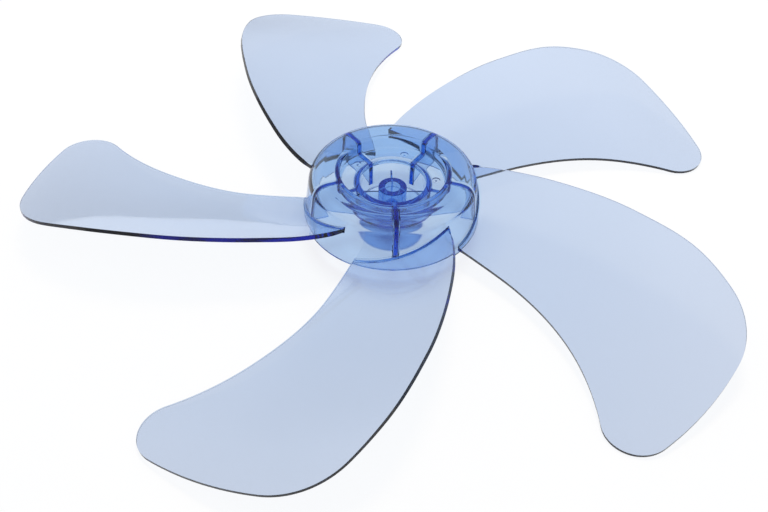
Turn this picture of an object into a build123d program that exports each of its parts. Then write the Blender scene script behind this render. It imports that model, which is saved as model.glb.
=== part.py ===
from build123d import *
from math import cos, radians, sin
import os

os.makedirs("parts", exist_ok=True)

# One moulded fan impeller: a stepped hub with five blades on its skirt.
# All sizes are in millimetres and degrees.
# The front of the fan faces +Z. The origin is on the axis, in the plane of the
# hub's rear rim, where the motor shaft enters the bore.

# Hub shell
hub_height = 30.0
hub_rear_radius = 46.6
hub_front_radius = 43.4
shoulder_radius = 8.5
shoulder_inside = 5.2
wall = 2.1

# Spinner recess in the front face, and the well below it
recess_radius = 27.8
recess_depth = 7.5
well_radius = 17.5
well_depth = 17.0
floor_thick = 2.0
well_taper = 0.5
rim_bevel = 0.5
corner_bevel = 1.2

# Centre boss
boss_radius = 7.5
boss_height = 18.3
bore_radius = 4.05
bore_chamfer = 0.5
slot_width = 4.2
slot_depth = 3.2

# Ribs behind the shell
rib_thick = 2.0
rib_rise = 7.5
hub_phase = 4.0

# Thin gussets between the boss and the wall of the well
gusset_count = 4
gusset_thick = 0.9
gusset_top = 15.0

# Gate dimples on the ledge
gate_radius = 2.2
gate_depth = 0.3

# Blades
blade_count = 5
tip_radius = 194.5
tip_drop = 3.5
root_thick = 2.4
tip_thick = 1.6
camber = 0.028
skin_margin = 8.0
trail_corner = 38.0
lead_corner = 17.0

# Each station of the blade: its radius, then the angle and the height of the
# leading edge, then the angle and the height of the trailing edge.
stations = [
    (44.0, -40.6, 3.6, 23.3, 20.0),
    (64.0, -40.6, 2.2, 11.6, 21.6),
    (85.0, -41.4, 1.1, 2.3, 23.9),
    (125.0, -46.2, -0.2, -9.3, 26.3),
    (160.0, -52.3, -3.7, -17.3, 24.9),
    (195.0, -60.0, -8.1, -26.4, 13.5),
]

ledge = hub_height - recess_depth
floor_top = ledge - well_depth
floor_under = floor_top - floor_thick
inner_well = well_radius - well_taper
blade_step = 360.0 / blade_count
block_half = 1.5 * hub_height


def skirt_radius(z):
    """Outer radius of the tapered skirt at height z."""
    return hub_rear_radius + (hub_front_radius - hub_rear_radius) * z / hub_height


def polar(radius, angle, z=0.0):
    return Vector(radius * cos(radians(angle)), radius * sin(radians(angle)), z)


def corner_of(face, r, z):
    """The corner of a half section that lies nearest to (r, z)."""
    return min(face.vertices(), key=lambda v: (v.X - r) ** 2 + (v.Z - z) ** 2)


def half_section(points):
    """A face in the XZ plane through (radius, height) points."""
    return Plane.XZ * make_face(Polyline(*points, close=True))


def turned(face):
    return revolve(face, Axis.Z, 360)


def hub_shell():
    """The shell, the well and the boss as one turned wall."""
    under = hub_height - wall
    inner_top = skirt_radius(under) - wall
    face = half_section([
        (hub_rear_radius, 0),
        (hub_front_radius, hub_height),
        (recess_radius, hub_height),
        (recess_radius, ledge),
        (well_radius, ledge),
        (inner_well, floor_top),
        (boss_radius, floor_top),
        (boss_radius, boss_height),
        (bore_radius + bore_chamfer, boss_height),
        (bore_radius, boss_height - bore_chamfer),
        (bore_radius, 0),
        (boss_radius, 0),
        (boss_radius, floor_under),
        (inner_well + wall, floor_under),
        (well_radius + wall, ledge - wall),
        (recess_radius + wall, ledge - wall),
        (recess_radius + wall, under),
        (inner_top, under),
        (hub_rear_radius - wall, 0),
    ])
    face = fillet(corner_of(face, hub_front_radius, hub_height), shoulder_radius)
    face = fillet(corner_of(face, inner_top, under), shoulder_inside)
    for r, z in [
        (recess_radius, ledge),
        (well_radius, ledge),
        (inner_well, floor_top),
        (inner_well + wall, floor_under),
        (boss_radius, boss_height),
    ]:
        face = chamfer(corner_of(face, r, z), rim_bevel)
    for r, z in [(recess_radius, hub_height), (recess_radius + wall, ledge - wall)]:
        face = chamfer(corner_of(face, r, z), corner_bevel)
    return turned(face)


def rib_zone():
    """The space behind the shell, taken to the middle of each wall."""
    half = wall / 2
    top = hub_height - half
    face = half_section([
        (inner_well + half, rib_rise),
        (well_radius + half, ledge - half),
        (recess_radius + half, ledge - half),
        (recess_radius + half, top),
        (skirt_radius(top) - half, top),
        (skirt_radius(rib_rise) - half, rib_rise),
    ])
    face = fillet(corner_of(face, skirt_radius(top) - half, top), shoulder_radius - half)
    return turned(face)


def ribs():
    """Radial ribs that follow the stepped underside of the shell."""
    zone = rib_zone()
    length = hub_rear_radius
    plate = Pos(length / 2, 0, hub_height / 2) * Box(length, rib_thick, hub_height)
    rib = zone & plate
    first = hub_phase - blade_step / 4
    return [Rot(0, 0, first + blade_step * k) * rib for k in range(blade_count)]


def gussets():
    """Thin webs that tie the boss to the wall of the well."""
    start = (bore_radius + boss_radius) / 2
    end = inner_well + wall / 3
    low = floor_top - floor_thick / 2
    middle = Pos((start + end) / 2, 0, (low + gusset_top) / 2)
    web = middle * Box(end - start, gusset_thick, gusset_top - low)
    step = 360.0 / gusset_count
    return [Rot(0, 0, hub_phase + step * k) * web for k in range(gusset_count)]


def gate_dimples():
    """Shallow round dimples on the ledge, one to a blade."""
    reach = (recess_radius + well_radius) / 2
    dimple = Pos(reach, 0, ledge) * Cylinder(gate_radius, 2 * gate_depth)
    return [Rot(0, 0, hub_phase + blade_step * k) * dimple for k in range(blade_count)]


def drive_slot():
    """The slot across the rear of the boss for the shaft's cross pin."""
    return Rot(0, 0, hub_phase) * Box(2 * boss_radius, slot_width, 2 * slot_depth)


def hub():
    body = hub_shell() + ribs() + gussets()
    return body - gate_dimples() - drive_slot()


def along(column, radius):
    """A station value at any radius, on a smooth curve through the stations."""
    r = [row[0] for row in stations]
    v = [row[column] for row in stations]
    last = len(r) - 1
    steps = [(v[i + 1] - v[i]) / (r[i + 1] - r[i]) for i in range(last)]
    slopes = [steps[0]] + [(steps[i - 1] + steps[i]) / 2 for i in range(1, last)] + [steps[-1]]
    if radius <= r[0]:
        return v[0] + slopes[0] * (radius - r[0])
    if radius >= r[last]:
        return v[last] + slopes[last] * (radius - r[last])
    i = max(k for k in range(last) if r[k] <= radius)
    h = r[i + 1] - r[i]
    t = (radius - r[i]) / h
    rise = (3 - 2 * t) * t * t
    start = t * (1 - t) ** 2 * h * slopes[i]
    end = t * t * (1 - t) * h * slopes[i + 1]
    return v[i] + (v[i + 1] - v[i]) * rise + start - end


def blade_point(radius, share):
    """A point of the blade's middle surface, at a share of the chord."""
    lead = along(1, radius)
    trail = along(3, radius)
    chord = radians(trail - lead) * radius
    angle = lead + (trail - lead) * share
    z = along(2, radius) * (1 - share) + along(4, radius) * share
    z -= 4 * camber * chord * share * (1 - share)
    return polar(radius, angle, z)


def blade_skin(side):
    """One face of the blade, side -1 for the rear and 1 for the front."""
    r_start = stations[0][0] - skin_margin
    r_end = tip_radius + skin_margin
    rows = []
    for i in range(21):
        reach = i / 20
        radius = r_start + (r_end - r_start) * reach
        half = (root_thick + (tip_thick - root_thick) * reach) / 2
        row = []
        for j in range(13):
            share = -0.12 + 1.24 * j / 12
            p = blade_point(radius, share)
            across = blade_point(radius, share + 0.01) - p
            outward = blade_point(radius + 1, share) - p
            normal = outward.cross(across).normalized()
            row.append(p + normal * (side * half))
        rows.append(row)
    return Face.make_surface_from_array_of_points(rows, tol=0.3, min_deg=10, max_deg=10)


def upright_edge(block, point):
    """The vertical edge of a block that stands nearest to a point."""
    edges = block.edges().filter_by(Axis.Z)
    return min(edges, key=lambda e: (Vector(e.center().X, e.center().Y) - point).length)


def blade_outline():
    """The blade as seen from the front, as a tall block with rounded tip corners."""
    lead = [polar(row[0], row[1]) for row in stations[:-1]]
    trail = [polar(row[0], row[3]) for row in stations[:-1]]
    low = tip_radius - tip_drop
    lead.append(polar(low, along(1, low)))
    trail.append(polar(tip_radius, along(3, tip_radius)))
    crown = polar(tip_radius, 0.35 * along(1, tip_radius) + 0.65 * along(3, tip_radius))
    edges = [
        Spline(*lead),
        ThreePointArc(lead[-1], crown, trail[-1]),
        Spline(*reversed(trail)),
        Line(trail[0], lead[0]),
    ]
    block = Pos(0, 0, -block_half) * extrude(make_face(edges), 2 * block_half)
    block = fillet(upright_edge(block, lead[-1]), lead_corner)
    return fillet(upright_edge(block, trail[-1]), trail_corner)


def hub_core():
    """A plug out to the middle of the skirt wall, which trims the blade roots."""
    half = wall / 2
    low = -hub_height
    high = 2 * hub_height
    return turned(half_section([
        (0, low),
        (skirt_radius(low) - half, low),
        (skirt_radius(high) - half, high),
        (0, high),
    ]))


def blade():
    """A twisted, cambered plate between its two skins, cut to the outline."""
    rear = extrude(blade_skin(-1), 2 * block_half, dir=(0, 0, 1))
    front = extrude(blade_skin(1), 2 * block_half, dir=(0, 0, 1))
    return (blade_outline() & (rear - front)) - hub_core()


def impeller():
    first = blade()
    body = hub()
    for k in range(blade_count):
        body = body + Rot(0, 0, blade_step * k) * first
    return body


part = impeller()
part.label = "impeller"
export_step(part, "parts/impeller.step")
print("solids", len(part.solids()), "volume", round(part.volume), "box", part.bounding_box())
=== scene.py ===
from math import acos, atan2, cos, degrees, hypot, pi, radians, sin, sqrt, tan

import bmesh
import bpy
import numpy as np
from mathutils import Matrix, Vector
from mathutils.geometry import delaunay_2d_cdt


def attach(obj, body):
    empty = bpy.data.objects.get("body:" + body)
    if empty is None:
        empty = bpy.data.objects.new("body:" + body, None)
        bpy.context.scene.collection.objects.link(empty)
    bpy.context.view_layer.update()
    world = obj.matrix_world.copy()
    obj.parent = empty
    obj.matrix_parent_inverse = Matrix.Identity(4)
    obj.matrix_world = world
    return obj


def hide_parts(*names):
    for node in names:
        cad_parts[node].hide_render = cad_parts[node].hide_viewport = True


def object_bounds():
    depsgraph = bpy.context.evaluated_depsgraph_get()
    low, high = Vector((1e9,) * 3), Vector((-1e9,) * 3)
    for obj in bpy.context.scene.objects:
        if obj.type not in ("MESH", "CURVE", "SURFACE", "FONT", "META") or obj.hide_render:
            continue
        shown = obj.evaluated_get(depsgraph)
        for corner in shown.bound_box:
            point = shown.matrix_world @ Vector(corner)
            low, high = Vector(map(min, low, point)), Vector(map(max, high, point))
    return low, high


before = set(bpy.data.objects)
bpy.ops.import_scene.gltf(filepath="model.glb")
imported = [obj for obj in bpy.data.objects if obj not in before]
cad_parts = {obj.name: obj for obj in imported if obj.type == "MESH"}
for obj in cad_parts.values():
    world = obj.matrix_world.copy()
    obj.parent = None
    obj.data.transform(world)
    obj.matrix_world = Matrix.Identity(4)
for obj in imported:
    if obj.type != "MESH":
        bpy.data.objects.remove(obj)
cad_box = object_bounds()
scene = bpy.context.scene

# The shapes are in mm and degrees, as in the part's source, and new_piece turns
# them into metres. Materials, the sheet, the lamp and the camera are in metres.
MM = 0.001

# The hub's section, once round the wall: radius, height, rounding of the corner.
HUB_SECTION = [
    (46.6, 0.0, 0.5),    # rear rim
    (43.4, 30.0, 8.5),   # shoulder
    (27.8, 30.0, 2.0),   # rim of the spinner recess
    (27.8, 22.5, 1.2),   # foot of the recess, on the ledge
    (17.5, 22.5, 0.6),   # rim of the well
    (17.0, 5.5, 1.0),    # floor of the well
    (7.5, 5.5, 0.8),     # foot of the boss
    (7.5, 18.3, 0.6),    # top of the boss
    (4.05, 18.3, 0.5),   # mouth of the bore
    (4.05, 0.0, 0.3),    # rear end of the bore
    (7.5, 0.0, 0.4),     # rear end of the boss
    (7.5, 3.5, 0.8),     # boss and floor, from behind
    (19.1, 3.5, 0.5),    # floor and well, from behind
    (19.6, 20.4, 1.6),   # well and ledge, from behind
    (29.9, 20.4, 2.6),   # ledge and recess, from behind
    (29.9, 27.9, 0.8),   # recess and front ring, from behind
    (41.5, 27.9, 5.2),   # inside of the shoulder
    (44.5, 0.0, 0.5),    # inside of the rear rim
]
CUP_CORNERS = range(12, 18)
SKIRT_REAR, SKIRT_FALL, HUB_HEIGHT = 46.6, 3.2, 30.0
WALL = 2.1
HUB_STEPS = 240
ARC_STEP, ARC_LEAST = 9.0, 3

HUB_PHASE = 4.0
BLADE_COUNT, BLADE_STEP = 5, 72.0

# Ribs behind the shell: half thickness, flare at the walls, height and rounding
# of the rear edge, how far they run into the walls, and the height at which the
# cup counts as closed.
RIB_HALF, RIB_FLARE = 1.0, 1.1
RIB_RISE, RIB_ROUND = 7.5, 0.3
RIB_BITE = 1.0
CUP_BELOW = -1.0

# The ribs' mesh, in rows that lie close together where the flare bends.
RIB_RADII = np.concatenate([
    np.arange(18.1, 21.0, 0.28), [22.0, 24.0, 26.0, 28.0],
    np.arange(28.7, 31.6, 0.28), [33.0, 35.5, 38.0], np.arange(39.6, 45.6, 0.25)])
RIB_HEIGHTS = np.concatenate([
    [7.5, 7.54, 7.62, 7.75, 8.0, 10.0, 13.0, 16.0], np.arange(18.4, 22.0, 0.28),
    [23.4, 24.8], np.arange(25.6, 29.3, 0.28)])

# Gussets in the well and the drive slot behind the boss, as rectangles from the
# rear up: two ends, half width, height.
GUSSET_LEVELS = [(5.8, 17.8, 0.5, 4.5), (5.8, 17.8, 0.42, 14.8), (5.8, 17.8, 0.25, 15.0)]
GUSSET_COUNT, GUSSET_STEP = 4, 90.0
SLOT_LEVELS = [(-7.6, 7.6, 2.1, -1.0), (-7.6, 7.6, 2.1, 3.2)]

# Gate marks on the ledge: the circle they lie on, and the section of each ring.
GATE_CIRCLE, GATE_STEPS = 22.65, 40
GATE_SECTION = [(0.3, 23.0), (0.55, 22.0), (2.1, 21.95), (2.25, 23.0)]

# Blade stations: radius, angle and height of the leading edge, then of the
# trailing edge.
STATIONS = [
    (44.0, -40.6, 3.6, 23.3, 20.0),
    (64.0, -40.6, 2.2, 11.6, 21.6),
    (85.0, -41.4, 1.1, 2.3, 23.9),
    (125.0, -46.2, -0.2, -9.3, 26.3),
    (160.0, -52.3, -3.7, -17.3, 24.9),
    (195.0, -60.0, -8.1, -26.4, 13.5),
]
TIP_RADIUS, TIP_DROP, CROWN_SHARE = 194.5, 3.5, 0.65
LEAD_CORNER, TRAIL_CORNER = 17.0, 38.0
CAMBER = 0.028

# The thickness falls evenly from one end of the part's blade skins to the other.
ROOT_THICK, TIP_THICK = 2.4, 1.6
SKIN_START, SKIN_END = 36.0, 202.5
ROOT_FLARE = 0.9
SLOPE_REACH = 0.5

# Cut edges: their rounding, the angles of its points, and the radius and the
# run in which they turn from upright at the hub to square to the faces.
EDGE_ROUND = 0.12
EDGE_ANGLES = (0, 22.5, 45, 67.5, 90)
TILT_START, TILT_RUN = 47.5, 3.0

# The blade's mesh: points of its lines in plan, their spacing once evened out,
# the grid on its faces, and rows that follow the flare beside the skirt.
LINE_POINTS, ROOT_POINTS, JOIN_STEPS = 1500, 400, 60
ROOT_ROUNDS = 6
EDGE_SPACING = 1.4
GRID_X, GRID_Y, GRID_START, GRID_CLEAR = 4.0, 3.5, 49.0, 1.6
ROW_REACH = (1.06, 1.3, 1.55, 1.85, 2.3)
ROW_ENDS, ROW_POINTS, ROW_CLEAR = 0.012, 64, 0.3
WELD, TINY = 1e-6, 1e-12

SHARP_ANGLE = 32

# The white sheet: its size, how far back its middle lies, its gap under the
# blades, and where the middle of the painted shadow of the well lies on it.
SHEET_SIZE, SHEET_BACK, SHEET_GAP = 12.0, 2.0, 0.0002
WELL_SHADOW = -0.0052

# The share of the sheet's own white in its look: to the camera, and by way of
# the plastic at radii round the well's shadow, in tenths of a metre. The low
# shares under the hub and none at the well make a painted shadow there. Then
# its power there, between two places from front to back on the sheet, lower at
# the front as painted shade.
CAMERA_SHARE = 0.85
RADIUS_SCALE = 10.0
PAINTED_SHADOW_SHARES = [(0.17, 0.0), (0.18, 0.66), (0.42, 0.66), (0.64, 0.9)]
PAINTED_FALLOFF_PLACES, PAINTED_FALLOFF_POWERS = (-2.25, -1.8), (0.79, 1.0)

# Radii between which the plastic stops being the hub's, and the well's.
HUB_REACH, WELL_REACH = (0.0460, 0.0475), (0.0185, 0.0195)

LAMP_PLACE, LAMP_SIZE, LAMP_WATTS = (0.05, 0.87, 2.15), 0.8, 42.0

# The photograph's own camera, solved from the five like blades, in pixels,
# degrees and metres.
YAW, PITCH, ROLL = -0.39, 43.46, 2.40
FOCAL_LENGTH, PHOTO_WIDTH, SENSOR = 1103.0, 768.0, 36.0
CAMERA_PLACE, CLIP_START = (0, -0.4467, 0.3908), 0.01


class Graph:
    """A node tree, and what the materials and the world do with it."""

    def __init__(self, tree):
        self.nodes, self.links = tree.nodes, tree.links
        self.nodes.clear()

    def put(self, socket, value):
        """Set an input, or link it where the value is another node's output."""
        if isinstance(value, bpy.types.NodeSocket):
            self.links.new(value, socket)
        else:
            socket.default_value = value

    def add(self, kind, **values):
        made = self.nodes.new("ShaderNode" + kind)
        for name, value in values.items():
            self.put(made.inputs[name.replace("_", " ")], value)
        return made

    def fill(self, made, values):
        """Set or link the first inputs of a node, in their order."""
        for socket, value in zip(made.inputs, values):
            self.put(socket, value)

    def maths(self, operation, *values):
        made = self.add("Math")
        made.operation = operation
        self.fill(made, values)
        return made.outputs[0]

    def vector_maths(self, operation, *values):
        made = self.add("VectorMath")
        made.operation = operation
        self.fill(made, values)
        return made

    def off_axis(self, place, shift=(0, 0, 0)):
        """Distance in plan from the axis, or from a point at minus the shift."""
        plan = self.vector_maths("MULTIPLY_ADD", place, (1, 1, 0), shift)
        return self.vector_maths("LENGTH", plan.outputs[0]).outputs["Value"]

    def noise(self, place, scale, detail, roughness=0.5):
        made = self.add("TexNoise", Vector=place, Scale=scale, Detail=detail, Roughness=roughness)
        return made.outputs["Fac"]

    def ramp(self, value, *stops):
        """A colour by a value, through stops of position and colour."""
        made = self.add("ValToRGB", Fac=value)
        elements = made.color_ramp.elements
        while len(elements) < len(stops):
            elements.new(1.0)
        for element, (position, colour) in zip(elements, stops):
            element.position = position
            element.color = (*colour, 1)
        return made.outputs["Color"]

    def rescaled(self, value, start, end, first, last):
        """A value between start and end, taken to between first and last."""
        made = self.add("MapRange", Value=value, From_Min=start, From_Max=end,
                        To_Min=first, To_Max=last)
        return made.outputs["Result"]

    def multiplied(self, colour, by, where):
        """A colour multiplied by another, where a mask is 1."""
        made = self.add("Mix")
        made.data_type = "RGBA"
        made.blend_type = "MULTIPLY"
        for name, value in (("Factor", where), ("A", colour), ("B", (*by, 1))):
            self.put(made.inputs[name], value)
        return made.outputs["Result"]

    def either(self, share, first, second):
        """A shader where the share is 0, another where it is 1."""
        made = self.add("MixShader")
        self.fill(made, (share, first, second))
        return made.outputs[0]


def new_material(name):
    material = bpy.data.materials.new(name)
    material.use_nodes = True
    return material, Graph(material.node_tree)


def clear_blue_plastic():
    """Clear blue styrene: the colour is in the depth, so cut edges go dark."""
    material, graph = new_material("clear_blue_plastic")
    place = graph.add("TexCoord").outputs["Object"]
    path = graph.add("LightPath").outputs
    radius = graph.off_axis(place)
    in_hub = graph.rescaled(radius, *HUB_REACH, 1.0, 0.0)
    in_well = graph.rescaled(radius, *WELL_REACH, 1.0, 0.0)

    flow = graph.noise(place, 9.0, 4.0, 0.55)
    tint = graph.ramp(flow, (0.3, (0.915, 0.91, 0.97)), (0.7, (0.945, 0.937, 0.998)))
    tint = graph.multiplied(tint, (0.88, 0.975, 1.0), in_hub)
    haze = graph.noise(place, 60.0, 6.0, 0.6)
    rough = graph.rescaled(haze, 0.3, 0.7, 0.015, 0.06)
    ripple = graph.noise(place, 45.0, 2.0)
    bump = graph.add("Bump", Strength=0.06, Distance=0.0004, Height=ripple)
    plastic = graph.add("BsdfPrincipled", Base_Color=tint, IOR=1.57, Transmission_Weight=1.0,
                        Roughness=rough, Normal=bump.outputs["Normal"])

    # Light on its way to the sheet loses more at a slant, in the hub and in the well.
    slant = graph.add("LayerWeight", Blend=0.5).outputs["Facing"]
    left = graph.ramp(slant, (0.1, (0.97, 0.975, 0.98)), (0.75, (0.3, 0.4, 0.58)))
    left = graph.multiplied(left, (0.85, 0.92, 1.0), in_hub)
    left = graph.multiplied(left, (0.6, 0.72, 0.88), in_well)
    through = graph.add("BsdfTransparent", Color=left)

    surface = graph.either(
        path["Is Shadow Ray"], plastic.outputs["BSDF"], through.outputs["BSDF"])
    depth = graph.add("VolumeAbsorption", Density=155.0, Color=(0.0, 0.44, 0.88, 1))
    graph.add("OutputMaterial", Surface=surface, Volume=depth.outputs["Volume"])
    return material


def white_sheet():
    """A white sheet that still shows the soft shadow of what stands on it, with a painted shadow
    under the hub and the well, and painted shade towards the front.
    """
    material, graph = new_material("white_sheet")
    place = graph.add("TexCoord").outputs["Object"]
    path = graph.add("LightPath").outputs
    grain = graph.noise(place, 30.0, 5.0)
    colour = graph.ramp(grain, (0.0, (0.86, 0.86, 0.87)), (1.0, (0.90, 0.90, 0.91)))
    paper = graph.add("BsdfDiffuse", Color=colour)

    # Seen through the plastic, its own white is painted darker a little towards the
    # front: painted shade where the light falls off.
    back = graph.add("SeparateXYZ", Vector=place).outputs["Y"]
    painted_falloff = graph.rescaled(back, *PAINTED_FALLOFF_PLACES, *PAINTED_FALLOFF_POWERS)
    power = graph.maths("MAXIMUM", painted_falloff, path["Is Camera Ray"])
    glow = graph.add("Emission", Strength=power)

    # By way of the plastic, its own white has less of a share under the hub than
    # in the open, and none in the shadow of the well: a painted shadow, where the
    # sheet's glow is taken away so that it goes dark there.
    radius = graph.off_axis(place, (0, SHEET_BACK - WELL_SHADOW, 0))
    stops = [(at, (part, part, part)) for at, part in PAINTED_SHADOW_SHARES]
    painted_shadow_share = graph.ramp(graph.maths("MULTIPLY", radius, RADIUS_SCALE), *stops)
    by_plastic = graph.maths("MAXIMUM", path["Is Transmission Ray"], path["Is Glossy Ray"])
    share = graph.maths(
        "MAXIMUM", graph.maths("MULTIPLY", by_plastic, painted_shadow_share),
        graph.maths("MULTIPLY", path["Is Camera Ray"], CAMERA_SHARE))
    surface = graph.either(share, paper.outputs["BSDF"], glow.outputs["Emission"])
    graph.add("OutputMaterial", Surface=surface)
    return material


def turn_between(arm, other):
    """The angle in radians from one arm to another, in plan."""
    return atan2(arm[0] * other[1] - arm[1] * other[0], float(arm @ other))


def swept(centre, arm, turn, steps):
    """Points of an arc about a centre, from the end of an arm."""
    t = np.linspace(0, turn, steps + 1)[:, None]
    return centre + np.cos(t) * arm + np.sin(t) * np.array([-arm[1], arm[0]])


def corner_arc(before, corner, after):
    """Points of the arc that rounds a section's corner between two straight sides."""
    a, b, c = (np.array(p[:2]) for p in (before, corner, after))
    u = (a - b) / np.linalg.norm(a - b)
    v = (c - b) / np.linalg.norm(c - b)
    half = acos(max(-1.0, min(1.0, float(u @ v)))) / 2
    size = corner[2]
    middle = b + (u + v) / np.linalg.norm(u + v) * size / sin(half)
    start = b + u * size / tan(half) - middle
    end = b + v * size / tan(half) - middle
    turn = turn_between(start, end)
    return swept(middle, start, turn, max(ARC_LEAST, int(abs(degrees(turn)) / ARC_STEP) + 1))


def rounded_section():
    """The hub's section with its arcs, and the part of it behind the shell."""
    outline, cup = [], []
    for i, corner in enumerate(HUB_SECTION):
        arc = corner_arc(HUB_SECTION[i - 1], corner, HUB_SECTION[(i + 1) % len(HUB_SECTION)])
        outline.extend(arc)
        if i in CUP_CORNERS:
            cup.extend(arc)
    return np.array(outline), np.array(cup)


def new_piece(name, points, faces):
    """A mesh in metres, with its faces turned outwards."""
    mesh = bpy.data.meshes.new(name)
    mesh.from_pydata([tuple(value * MM for value in point) for point in points], [], faces)
    work = bmesh.new()
    work.from_mesh(mesh)
    bmesh.ops.recalc_face_normals(work, faces=work.faces)
    work.to_mesh(mesh)
    work.free()
    piece = bpy.data.objects.new(name, mesh)
    scene.collection.objects.link(piece)
    return piece


def turned(outline, steps, centre=(0.0, 0.0)):
    """Points and faces of a closed section turned about an upright axis."""
    points, faces = [], []
    n = len(outline)
    for k in range(steps):
        a = 2 * pi * k / steps
        points += [(centre[0] + r * cos(a), centre[1] + r * sin(a), z) for r, z in outline]
        ahead = (k + 1) % steps
        for i in range(n):
            j = (i + 1) % n
            faces.append((ahead * n + i, ahead * n + j, k * n + j, k * n + i))
    return points, faces


def stacked(levels):
    """Points and faces of a block through level rectangles, from the rear up."""
    points = [(x, y, z) for start, end, half, z in levels
              for x, y in ((start, -half), (end, -half), (end, half), (start, half))]
    top = len(points) - 4
    faces = [(3, 2, 1, 0), (top, top + 1, top + 2, top + 3)]
    for base in range(0, top, 4):
        for i, j in ((0, 1), (1, 2), (2, 3), (3, 0)):
            faces.append((base + i, base + j, base + 4 + j, base + 4 + i))
    return points, faces


def merged(parts):
    """One list of points and faces from several."""
    points, faces = [], []
    for some_points, some_faces in parts:
        base = len(points)
        points += list(some_points)
        faces += [tuple(base + i for i in face) for face in some_faces]
    return points, faces


def spun(shape, angle):
    """Points and faces turned about the axis."""
    points, faces = shape
    c, s = cos(radians(angle)), sin(radians(angle))
    return [(p[0] * c - p[1] * s, p[0] * s + p[1] * c, p[2]) for p in points], faces


def combine(piece, name, parts, operation):
    """Join further parts to a piece, or cut them out of it."""
    other = new_piece(name, *merged(parts))
    change = piece.modifiers.new(operation, "BOOLEAN")
    change.operation = operation
    change.solver = "MANIFOLD"
    change.object = other
    bpy.context.view_layer.objects.active = piece
    bpy.ops.object.modifier_apply(modifier=change.name)
    bpy.data.objects.remove(other)


def inside(polygon, points):
    """Which points lie inside a closed polygon."""
    x, y = points[:, 0][:, None], points[:, 1][:, None]
    x0, y0 = polygon[:, 0][None], polygon[:, 1][None]
    x1, y1 = np.roll(polygon[:, 0], -1)[None], np.roll(polygon[:, 1], -1)[None]
    crosses = (y0 > y) != (y1 > y)
    at = x0 + (y - y0) / np.where(y1 == y0, TINY, y1 - y0) * (x1 - x0)
    return (crosses & (x < at)).sum(1) % 2 == 1


def distance(line, points):
    """Distance of each point from an open line of points."""
    a, b = line[:-1][None], line[1:][None]
    p = points[:, None]
    share = ((p - a) * (b - a)).sum(2) / np.maximum(((b - a) ** 2).sum(2), TINY)
    near = a + np.clip(share, 0, 1)[:, :, None] * (b - a)
    return np.sqrt(((p - near) ** 2).sum(2)).min(1)


def off_arc(size, gap):
    """How far a quarter arc has left its side, at a gap from the arc's start."""
    return size - np.sqrt(size ** 2 - gap ** 2)


def rib(outline, cup):
    """A rib behind the shell, flared where it meets the walls, as a grid of cells."""
    radii, heights = np.meshgrid(RIB_RADII, RIB_HEIGHTS, indexing="ij")
    grid = np.stack([radii.ravel(), heights.ravel()], 1)
    opening = np.vstack([cup, [[cup[-1][0], CUP_BELOW], [cup[0][0], CUP_BELOW]]])
    away = np.where(inside(opening, grid), distance(cup, grid), 0.0)
    half = RIB_HALF + off_arc(RIB_FLARE, np.clip(RIB_FLARE - away, 0, RIB_FLARE))
    half = half - off_arc(RIB_ROUND, np.clip(RIB_ROUND - (grid[:, 1] - RIB_RISE), 0, RIB_ROUND))

    middles = np.stack([(g[:-1, :-1] + g[1:, 1:]).ravel() / 2 for g in (radii, heights)], 1)
    in_wall = inside(outline, middles) & (distance(cup, middles) < RIB_BITE)
    columns, rows = len(RIB_RADII), len(RIB_HEIGHTS)
    kept = (inside(opening, middles) | in_wall).reshape(columns - 1, rows - 1)
    points = [(r, side * h, z) for side in (1, -1) for (r, z), h in zip(grid, half)]
    other = columns * rows
    faces = []
    for i, j in zip(*np.nonzero(kept)):
        a, b = i * rows + j, (i + 1) * rows + j
        c, d = b + 1, a + 1
        faces.append((d, c, b, a))
        faces.append((a + other, b + other, c + other, d + other))
        for p, q, x, y in ((a, b, i, j - 1), (b, c, i + 1, j), (c, d, i, j + 1), (d, a, i - 1, j)):
            if not (0 <= x < columns - 1 and 0 <= y < rows - 1 and kept[x, y]):
                faces.append((p, q, q + other, p + other))
    used = sorted({i for face in faces for i in face})
    place = {old: new for new, old in enumerate(used)}
    return [points[i] for i in used], [tuple(place[i] for i in face) for face in faces]


def along(column, radius):
    """A station value at any radius, on a smooth curve through the stations."""
    r = [row[0] for row in STATIONS]
    v = [row[column] for row in STATIONS]
    last = len(r) - 1
    steps = [(v[i + 1] - v[i]) / (r[i + 1] - r[i]) for i in range(last)]
    slopes = [steps[0]] + [(steps[i - 1] + steps[i]) / 2 for i in range(1, last)] + [steps[-1]]
    if radius <= r[0]:
        return v[0] + slopes[0] * (radius - r[0])
    if radius >= r[last]:
        return v[last] + slopes[last] * (radius - r[last])
    i = max(k for k in range(last) if r[k] <= radius)
    h = r[i + 1] - r[i]
    t = (radius - r[i]) / h
    rise = (3 - 2 * t) * t * t
    start = t * (1 - t) ** 2 * h * slopes[i]
    end = t * t * (1 - t) * h * slopes[i + 1]
    return v[i] + (v[i + 1] - v[i]) * rise + start - end


def plan_point(radius, share):
    """A plan point of the blade at a share of the way from its leading edge."""
    angle = radians(along(1, radius) * (1 - share) + along(3, radius) * share)
    return np.array([radius * cos(angle), radius * sin(angle)])


def blade_height(x, y):
    """Height of the blade's middle surface over a plan point."""
    radius = hypot(x, y)
    lead, trail = along(1, radius), along(3, radius)
    share = (degrees(atan2(y, x)) - lead) / (trail - lead)
    sag = 4 * CAMBER * radians(trail - lead) * radius * share * (1 - share)
    return along(2, radius) * (1 - share) + along(4, radius) * share - sag


def blade_slope(x, y):
    """How the blade's middle surface falls in x and in y."""
    e = SLOPE_REACH
    return ((blade_height(x - e, y) - blade_height(x + e, y)) / (2 * e),
            (blade_height(x, y - e) - blade_height(x, y + e)) / (2 * e))


def skirt_radius(z):
    """Outer radius of the tapered skirt at a height."""
    return SKIRT_REAR - SKIRT_FALL * z / HUB_HEIGHT


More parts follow.
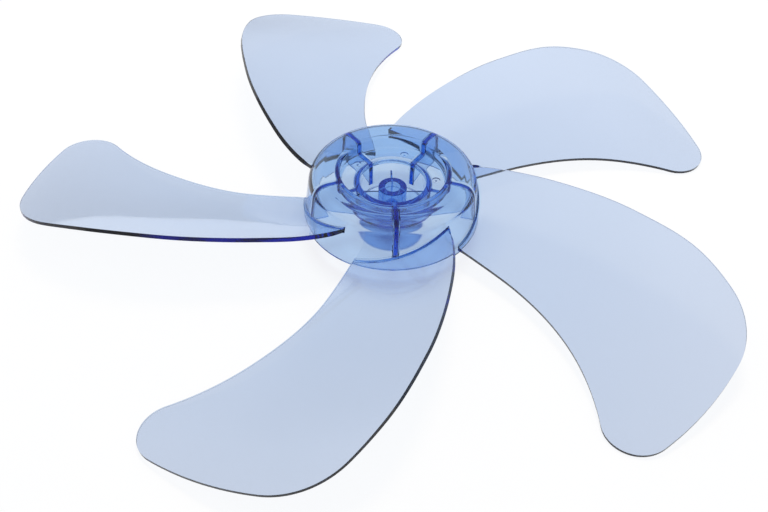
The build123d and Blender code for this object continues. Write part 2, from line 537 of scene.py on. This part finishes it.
def blade_half(x, y):
    """Half the blade's upright thickness over a plan point, with the fillet at the hub."""
    off_skirt = max(0.0, hypot(x, y) - skirt_radius(blade_height(x, y)))
    flare = off_arc(ROOT_FLARE, max(0.0, ROOT_FLARE - off_skirt))
    u, v = blade_slope(x, y)
    reach = (hypot(x, y) - SKIN_START) / (SKIN_END - SKIN_START)
    thick = ROOT_THICK + (TIP_THICK - ROOT_THICK) * reach
    return flare + thick / 2 * sqrt(1 + u * u + v * v)


def edge_tilt(x, y):
    """The plan part of the blade's normal, by which its cut edges stand square."""
    u, v = blade_slope(x, y)
    free = min(max((hypot(x, y) - TILT_START) / TILT_RUN, 0.0), 1.0)
    size = free / sqrt(1 + u * u + v * v)
    return u * size, v * size


def left_of(run):
    """Unit vectors to the left of the steps of a line."""
    run = run / np.linalg.norm(run, axis=1)[:, None]
    return np.stack([-run[:, 1], run[:, 0]], 1)


def rounded_join(first, second, size):
    """Two lines that meet at a corner, joined by an arc on their left side."""
    centres = first + left_of(np.gradient(first, axis=0)) * size
    gaps = np.linalg.norm(centres[:, None] - second[None], axis=2)
    i = int(np.argmin(np.abs(gaps.min(1) - size)))
    j = int(np.argmin(gaps[i]))
    start, end = first[i] - centres[i], second[j] - centres[i]
    arc = swept(centres[i], start, turn_between(start, end), JOIN_STEPS)
    return np.vstack([first[: i + 1], arc[1:-1]]), second[j:]


def arc_through(a, b, c, count):
    """Points of the circle through three points, from the first to the last."""
    sides = np.array([b - a, c - a]) * 2
    centre = np.linalg.solve(sides, [b @ b - a @ a, c @ c - a @ a])
    return swept(centre, a - centre, turn_between(a - centre, c - centre), count - 1)


def root_radius(share):
    """Where the blade's root ends, in the middle of the tapered skirt wall."""
    radius = STATIONS[0][0]
    for _ in range(ROOT_ROUNDS):
        z = along(2, radius) * (1 - share) + along(4, radius) * share
        radius = skirt_radius(z) - WALL / 2
    return radius


def blade_outline():
    """The blade in plan, anticlockwise, with its root in the middle of the skirt wall."""
    low = TIP_RADIUS - TIP_DROP
    lead_radii = np.linspace(root_radius(0), low, LINE_POINTS)
    trail_radii = np.linspace(TIP_RADIUS, root_radius(1), LINE_POINTS)
    lead = np.array([plan_point(r, 0) for r in lead_radii])
    trail = np.array([plan_point(r, 1) for r in trail_radii])
    tip = arc_through(lead[-1], plan_point(TIP_RADIUS, CROWN_SHARE), trail[0], LINE_POINTS)
    root = [plan_point(root_radius(s), s) for s in np.linspace(1, 0, ROOT_POINTS)[1:-1]]
    side, tip = rounded_join(lead, tip, LEAD_CORNER)
    crest, back = rounded_join(tip, trail, TRAIL_CORNER)

    line = np.vstack([side, crest, back, root, side[:1]])
    steps = np.linalg.norm(np.diff(line, axis=0), axis=1)
    way = np.concatenate([[0], np.cumsum(steps)])
    marks = np.linspace(0, way[-1], int(way[-1] / EDGE_SPACING) + 1)[:-1]
    return np.stack([np.interp(marks, way, line[:, 0]), np.interp(marks, way, line[:, 1])], 1)


def edge_points(outline, left):
    """Points of the rounded cut edge, ring by ring from the rear face to the front."""
    tilt = [edge_tilt(x, y) for x, y in outline]
    points = []
    for side, angles in ((-1, EDGE_ANGLES[::-1]), (1, EDGE_ANGLES)):
        for angle in angles:
            shift = EDGE_ROUND * (1 - cos(radians(angle)))
            drop = EDGE_ROUND * (1 - sin(radians(angle)))
            for (x, y), (u, v) in zip(outline + left * shift, tilt):
                level = side * (blade_half(x, y) - drop)
                x, y = x + level * u, y + level * v
                points.append((x, y, blade_height(x, y) + side * (blade_half(x, y) - drop)))
    return points


def face_grid(core):
    """Plan points for the blade's faces, inside the line where the edge begins."""
    closed = np.vstack([core, core[:1]])
    xs = np.arange(core[:, 0].min(), core[:, 0].max(), GRID_X)
    ys = np.arange(core[:, 1].min(), core[:, 1].max(), GRID_Y)
    grid = np.array([(x + GRID_X / 2 * (k % 2), y) for k, y in enumerate(ys) for x in xs])
    grid = grid[inside(core, grid)]
    grid = grid[np.linalg.norm(grid, axis=1) > GRID_START]
    grid = grid[distance(closed, grid) > GRID_CLEAR]
    rows = np.array([
        plan_point(root_radius(share) + extra, share) for extra in ROW_REACH
        for share in np.linspace(ROW_ENDS, 1 - ROW_ENDS, ROW_POINTS)])
    rows = rows[inside(core, rows)]
    rows = rows[distance(closed, rows) > ROW_CLEAR]
    return np.vstack([grid, rows])


def blade():
    """A twisted, cambered plate with rounded edges, as points and faces."""
    outline = blade_outline()
    n = len(outline)
    left = left_of(np.roll(outline, -1, axis=0) - np.roll(outline, 1, axis=0))
    points = edge_points(outline, left)
    last = len(points) - n
    faces = []
    for base in range(0, last, n):
        for i in range(n):
            j = (i + 1) % n
            faces.append((base + i, base + j, base + n + j, base + n + i))

    core = outline + left * EDGE_ROUND
    grid = face_grid(core)
    plan = [Vector((float(x), float(y))) for x, y in np.vstack([core, grid])]
    edges = [(i, (i + 1) % n) for i in range(n)]
    out = delaunay_2d_cdt(plan, edges, [], 1, WELD)
    assert len(out[0]) == len(plan)
    place = [origin[0] for origin in out[3]]
    for side, ring in ((-1, 0), (1, last)):
        index = list(range(ring, ring + n)) + list(range(len(points), len(points) + len(grid)))
        points += [(x, y, blade_height(x, y) + side * blade_half(x, y)) for x, y in grid]
        for face in out[2]:
            ids = [index[place[i]] for i in face]
            faces.append(tuple(ids if side > 0 else reversed(ids)))
    return points, faces


def finer_impeller():
    """The moulding with its small roundings, true to the CAD solid's sizes."""
    outline, cup = rounded_section()
    hub = new_piece("impeller_moulding", *turned(outline, HUB_STEPS))
    turns = [BLADE_STEP * k for k in range(BLADE_COUNT)]
    one_rib, gusset, one_blade = rib(outline, cup), stacked(GUSSET_LEVELS), blade()
    webs = [spun(one_rib, HUB_PHASE - BLADE_STEP / 4 + turn) for turn in turns]
    webs += [spun(gusset, HUB_PHASE + GUSSET_STEP * k) for k in range(GUSSET_COUNT)]
    combine(hub, "webs", webs, "UNION")
    combine(hub, "blades", [spun(one_blade, turn) for turn in turns], "UNION")
    cuts = []
    for turn in turns:
        angle = radians(HUB_PHASE + turn)
        centre = (GATE_CIRCLE * cos(angle), GATE_CIRCLE * sin(angle))
        cuts.append(turned(GATE_SECTION, GATE_STEPS, centre))
    cuts.append(spun(stacked(SLOT_LEVELS), HUB_PHASE))
    combine(hub, "cuts", cuts, "DIFFERENCE")

    mesh = hub.data
    mesh.polygons.foreach_set("use_smooth", [True] * len(mesh.polygons))
    mesh.set_sharp_from_angle(angle=radians(SHARP_ANGLE))
    even = hub.modifiers.new("even", "WEIGHTED_NORMAL")
    even.keep_sharp = True
    bpy.ops.object.modifier_apply(modifier=even.name)
    return hub


def dress_impeller():
    plastic = clear_blue_plastic()
    piece = finer_impeller()
    piece.data.materials.clear()
    piece.data.materials.append(plastic)
    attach(piece, "root")
    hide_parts("impeller")


def lay_floor():
    low = cad_box[0][2]
    bpy.ops.mesh.primitive_plane_add(size=SHEET_SIZE, location=(0, SHEET_BACK, low - SHEET_GAP))
    floor = bpy.context.object
    floor.name = "floor"
    floor.data.materials.append(white_sheet())


def hang_lamp():
    """One round lamp above and behind, which throws the soft shadow."""
    light = bpy.data.lights.new("key", "AREA")
    light.shape = "DISK"
    light.size = LAMP_SIZE
    light.energy = LAMP_WATTS
    lamp = bpy.data.objects.new("key", light)
    lamp.location = LAMP_PLACE
    lamp.rotation_euler = (-Vector(LAMP_PLACE)).to_track_quat("-Z", "Y").to_euler()
    lamp.visible_glossy = False
    lamp.visible_transmission = False
    scene.collection.objects.link(lamp)


def light_room():
    """White for the camera, a pale sky for the light, walls for looks through the plastic."""
    world = bpy.data.worlds.new("room")
    world.use_nodes = True
    graph = Graph(world.node_tree)
    path = graph.add("LightPath").outputs
    sky = graph.add("Background", Color=(0.95, 0.97, 1.0, 1), Strength=0.5)
    split = graph.add("SeparateXYZ", Vector=graph.add("TexCoord").outputs["Generated"])
    walls = graph.ramp(split.outputs["Z"], (0.1, (0.03, 0.04, 0.12)), (0.6, (1, 1, 1)))
    room = graph.add("Background", Color=walls, Strength=1.0)
    white = graph.add("Background", Color=(1, 1, 1, 1), Strength=1.0)
    unscattered = graph.maths("LESS_THAN", path["Diffuse Depth"], 0.5)
    look = graph.maths("MULTIPLY", path["Is Transmission Ray"], unscattered)
    seen = graph.either(look, sky.outputs[0], room.outputs[0])
    seen = graph.either(path["Is Camera Ray"], seen, white.outputs[0])
    graph.add("OutputWorld", Surface=seen)
    scene.world = world


def set_camera():
    yaw, pitch, roll = radians(YAW), radians(PITCH), radians(ROLL)
    forward = Vector((sin(yaw) * cos(pitch), cos(yaw) * cos(pitch), -sin(pitch)))
    right = Vector((cos(yaw), -sin(yaw), 0))
    up = right.cross(forward)
    x = cos(roll) * right + sin(roll) * up
    y = -sin(roll) * right + cos(roll) * up
    data = bpy.data.cameras.new("camera")
    data.sensor_width = SENSOR
    data.lens = FOCAL_LENGTH / PHOTO_WIDTH * SENSOR
    data.clip_start = CLIP_START
    camera = bpy.data.objects.new("camera", data)
    turn = Matrix((x, y, -forward)).transposed().to_4x4()
    camera.matrix_world = Matrix.Translation(CAMERA_PLACE) @ turn
    scene.collection.objects.link(camera)
    scene.camera = camera


dress_impeller()
lay_floor()
hang_lamp()
light_room()
set_camera()
scene.view_settings.view_transform = "Standard"
scene.cycles.max_bounces = 32
scene.cycles.transmission_bounces = 32
scene.cycles.glossy_bounces = 12
scene.cycles.transparent_max_bounces = 24
